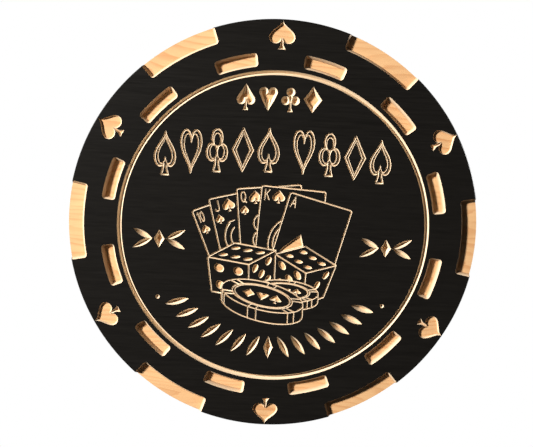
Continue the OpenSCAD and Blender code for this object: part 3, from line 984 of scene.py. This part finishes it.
def softened(node_name):
    """A CAD node's shape with its hard edges rounded, as stamped and tumbled metal has."""
    bm = bmesh.new()
    bm.from_mesh(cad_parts[node_name].data)
    bmesh.ops.remove_doubles(bm, verts=bm.verts, dist=1e-6)
    bmesh.ops.dissolve_limit(bm, angle_limit=math.radians(0.5), verts=bm.verts, edges=bm.edges)
    hard = [e for e in bm.edges if len(e.link_faces) == 2 and e.calc_face_angle(0) > math.radians(35)]
    bmesh.ops.bevel(bm, geom=hard, offset=STRAP_EDGE_R * MM, segments=3,
                     profile=0.5, affect="EDGES", clamp_overlap=True)
    return finished_mesh(bm, f"{node_name}_soft")


def revolve(bm, profile, base, sides=72):
    """A solid turned round the line through base along Y, from (radius, height) points in millimetres."""
    rows = []
    for r, h in profile:
        spots = [compass((0, 0), r, 90 - 360 * k / sides) for k in range(sides if r else 1)]
        rows.append([bm.verts.new(base + Vector((x, h, z)) * MM) for x, z in spots])
    for a, b in zip(rows, rows[1:]):
        for k in range(sides):
            j = (k + 1) % sides
            ring = [a[k % len(a)], a[j % len(a)], b[j % len(b)], b[k % len(b)]]
            bm.faces.new(list(dict.fromkeys(ring)))


def rounded(corner, before, after, r, n=6):
    """Points that round the corner of a profile."""
    p, a, b = Vector(corner), Vector(before), Vector(after)
    p1, p2 = p + (a - p).normalized() * r, p + (b - p).normalized() * r
    shares = [k / n for k in range(n + 1)]
    return [tuple(p1 * (1 - t) ** 2 + p * 2 * t * (1 - t) + p2 * t * t) for t in shares]


def d_ring_mesh(node_name, sides=28):
    """Round wire bent to a D, with its straight side through the strap's eye."""
    low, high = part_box(node_name)
    wire = (high.y - low.y) / 2 / MM
    half = (high.x - low.x) / 2 / MM - wire
    length = (high.z - low.z) / MM - 2 * wire
    middle = Vector(((low.x + high.x) / 2, (low.y + high.y) / 2, high.z - wire * MM))
    line = bend((half - RING_TURN, -RING_TURN), RING_TURN, 0, 90, 12)
    line += bend((0, half - length), half, 90, 270, 56)
    line += bend((RING_TURN - half, -RING_TURN), RING_TURN, 270, 360, 12)
    bm = bmesh.new()
    rows = []
    for i, p in enumerate(line):
        a, b = line[i - 1], line[(i + 1) % len(line)]
        if i == 0:
            a = (p[0] - 1, p[1])
        if i == len(line) - 1:
            b = (p[0] + 1, p[1])
        ahead = Vector((b[0] - a[0], 0, b[1] - a[1])).normalized()
        out = Vector((ahead.z, 0, -ahead.x))
        section = [compass((0, 0), wire, 90 - 360 * k / sides) for k in range(sides)]
        rows.append([bm.verts.new(middle + (Vector((p[0], across, p[1])) + out * outward) * MM)
                     for outward, across in section])
    for a, b in zip(rows, rows[1:] + rows[:1]):
        for k in range(sides):
            j = (k + 1) % sides
            bm.faces.new((a[k], a[j], b[j], b[k]))
    return finished_mesh(bm, f"{node_name}_wire", 40)


def recess_arms(base, head_r, tall):
    """The two crossed arms of a screw's recess, which taper downwards."""
    half_len, half_w = head_r * 0.58, 0.42
    for angle in RECESS_ANGLES:
        recess = bmesh.new()
        for s, t in itertools.product((-1, 1), (-1, 1)):
            for length, w, h in ((1, 1, tall + 0.3), (0.45, 0.7, tall - RECESS_DEPTH)):
                x, z = turned((half_len * length * s, half_w * w * t), angle)
                recess.verts.new(base / MM + Vector((x, h, z)))
        bmesh.ops.convex_hull(recess, input=recess.verts)
        keep_cutter(recess, "cut_recess")


def screw_mesh(screws_name):
    """Two pan-head screws with a cross recess, seated on the strap."""
    low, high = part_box(screws_name)
    head_r = (high.x - low.x) / 2 / MM
    seat = BACK_Y / MM + STRAP_T
    tall = high.y / MM - seat
    point = low.y / MM - seat
    profile = [(0, point), (SHANK_R, point + 3), (SHANK_R, 0), (head_r - 0.15, 0)]
    profile += rounded((head_r, 0.25), (head_r - 0.5, 0), (head_r, 1), 0.2, 3)
    profile += rounded((head_r, tall), (head_r, 0.6), (0, tall * 1.02), tall * 0.75, 10)
    profile += [(head_r * 0.3, tall), (0, tall)]
    made = bmesh.new()
    for z in (high.z - head_r * MM, low.z + head_r * MM):
        base = Vector(((low.x + high.x) / 2, seat * MM, z))
        bm = bmesh.new()
        revolve(bm, profile, base)
        bmesh.ops.recalc_face_normals(bm, faces=bm.faces)
        head = bpy.data.meshes.new("head")
        bm.to_mesh(head)
        bm.free()
        recess_arms(base, head_r, tall)
        made.from_mesh(carve(head, -PANEL_R, PANEL_R))
        discard_cutters()
    return finished_mesh(made, f"{screws_name}_pan")


def bumper_mesh(node_name):
    low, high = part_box(node_name)
    r, tall = (high.x - low.x) / 2 / MM, (high.y - low.y) / MM
    base = Vector(((low.x + high.x) / 2, low.y, (low.z + high.z) / 2))
    top_r = r - tall / 12
    profile = [(0, 0), (r - 0.1, 0)] + rounded((r, 0.9), (r, 0), (top_r, tall), 0.5, 3)
    profile += rounded((top_r - 0.1, tall), (r - 0.15, 1), (0, tall), 1.5, 9)
    profile += [(r * 0.42, tall), (r * 0.36, tall - 0.35), (0, tall - 0.45)]
    bm = bmesh.new()
    revolve(bm, profile, base, 96)
    return finished_mesh(bm, f"{node_name}_rubber")


ring_metal = metal("Ring_Nickel", (0.66, 0.64, 0.60), (0.50, 0.47, 0.43), (0.4, 0.4, 3.0))
strap_metal = metal("Strap_Nickel", (0.63, 0.61, 0.57), (0.47, 0.44, 0.40), (0.25, 0.25, 5.0), 0.30)
screw_metal = metal("Screw_Zinc", (0.70, 0.60, 0.38), (0.55, 0.44, 0.26), (0.8, 0.8, 0.8), 0.30)
bumper_rubber = rubber()

for side in ("left", "right"):
    strap, ring, screws = (f"hanger_{part}_{side}" for part in ("strap", "ring", "screws"))
    add_piece(f"{strap}_soft", softened(strap), [strap_metal], strap, "root")
    add_piece(f"{ring}_wire", d_ring_mesh(ring), [ring_metal], ring, f"{side}_ring")
    add_piece(f"{screws}_pan", screw_mesh(screws), [screw_metal], screws, "root")
for k in range(1, 5):
    bumper = f"bumper_{k}"
    add_piece(f"{bumper}_rubber", bumper_mesh(bumper), [bumper_rubber], bumper, "root")


# ---- Stage, light and camera ----

def soft_light(name, place, aim, size, watts, colour=(1, 1, 1)):
    data = bpy.data.lights.new(name, "AREA")
    data.shape, data.size, data.energy, data.color = "DISK", size, watts, colour
    lamp = bpy.data.objects.new(name, data)
    lamp.location = place
    lamp.rotation_euler = (Vector(aim) - Vector(place)).to_track_quat("-Z", "Y").to_euler()
    lamp.visible_camera = False
    bpy.context.scene.collection.objects.link(lamp)


def floor_plane():
    m, tree, shader = material("Pale_Floor")
    cloud = noise(tree, place_mm(tree), (240.0, 240.0, 240.0), detail=2.0)
    tone = ramp(tree, cloud, ((0.3, (0.80, 0.80, 0.80)), (0.7, (0.84, 0.84, 0.84))))
    tree.links.new(tone, shader.inputs["Base Color"])
    shader.inputs["Roughness"].default_value = 0.9
    shader.inputs["Emission Color"].default_value = (1, 1, 1, 1)
    shader.inputs["Emission Strength"].default_value = 0.75
    bm = bmesh.new()
    bmesh.ops.create_circle(bm, cap_ends=True, segments=96, radius=1.2)
    mesh = bpy.data.meshes.new("Floor")
    bm.to_mesh(mesh)
    bm.free()
    mesh.materials.append(m)
    floor = bpy.data.objects.new("Floor", mesh)
    floor.location = (0, 0, -0.9)
    floor.visible_diffuse = floor.visible_glossy = False
    bpy.context.scene.collection.objects.link(floor)


def white_world():
    world = bpy.data.worlds.new("Studio")
    bpy.context.scene.world = world
    world.use_nodes = True
    tree = world.node_tree
    seen_white = tree.nodes["Background"]
    seen_white.inputs["Color"].default_value = (1, 1, 1, 1)
    dim = node(tree, "ShaderNodeBackground", Color=(0.97, 0.98, 1.0, 1), Strength=0.028)
    rays = tree.nodes.new("ShaderNodeLightPath")
    join = tree.nodes.new("ShaderNodeMixShader")
    tree.links.new(rays.outputs["Is Camera Ray"], join.inputs[0])
    tree.links.new(dim.outputs[0], join.inputs[1])
    tree.links.new(seen_white.outputs[0], join.inputs[2])
    tree.links.new(join.outputs[0], tree.nodes["World Output"].inputs["Surface"])


floor_plane()
white_world()
soft_light("Key", (-2.80, -1.77, 1.13), (0, FACE_Y, 0), 0.42, 335, (1.0, 0.985, 0.96))
soft_light("Back_Left", (-1.1, 1.5, 0.9), (0, 0, 0), 0.9, 34)
soft_light("Back_Right", (1.3, 1.3, 0.5), (0, 0, 0), 0.9, 20)
soft_light("Edge_Right", (1.9, 0.62, 0.4), (0, 0, 0), 0.6, 30)

# The camera looks down a little, from slightly left, and is turned in its own plane
FOCAL_PX, IMAGE_W = 768.7, 533
DISTANCE = 5 * RING_R * MM
elevation, azimuth, roll = math.radians(7.89), math.radians(-0.61), math.radians(-2.66)
aim = Vector((0, FACE_Y, 0))
back = Vector((math.sin(azimuth) * math.cos(elevation), -math.cos(azimuth) * math.cos(elevation),
               math.sin(elevation)))
upright = Matrix.Translation(aim + back * DISTANCE) @ (-back).to_track_quat("-Z", "Y").to_matrix().to_4x4()
turn = Matrix.Translation(aim) @ Matrix.Rotation(roll, 4, "Y") @ Matrix.Translation(-aim)
lens = bpy.data.cameras.new("Camera")
lens.sensor_width = 36
lens.lens = FOCAL_PX / IMAGE_W * lens.sensor_width
lens.shift_x, lens.shift_y = -6.74 / IMAGE_W, 5.7 / IMAGE_W
lens.clip_start, lens.clip_end = 0.01, 50
camera = bpy.data.objects.new("Camera", lens)
camera.matrix_world = turn @ upright
bpy.context.scene.collection.objects.link(camera)
bpy.context.scene.camera = camera
bpy.context.scene.view_settings.view_transform = "Standard"
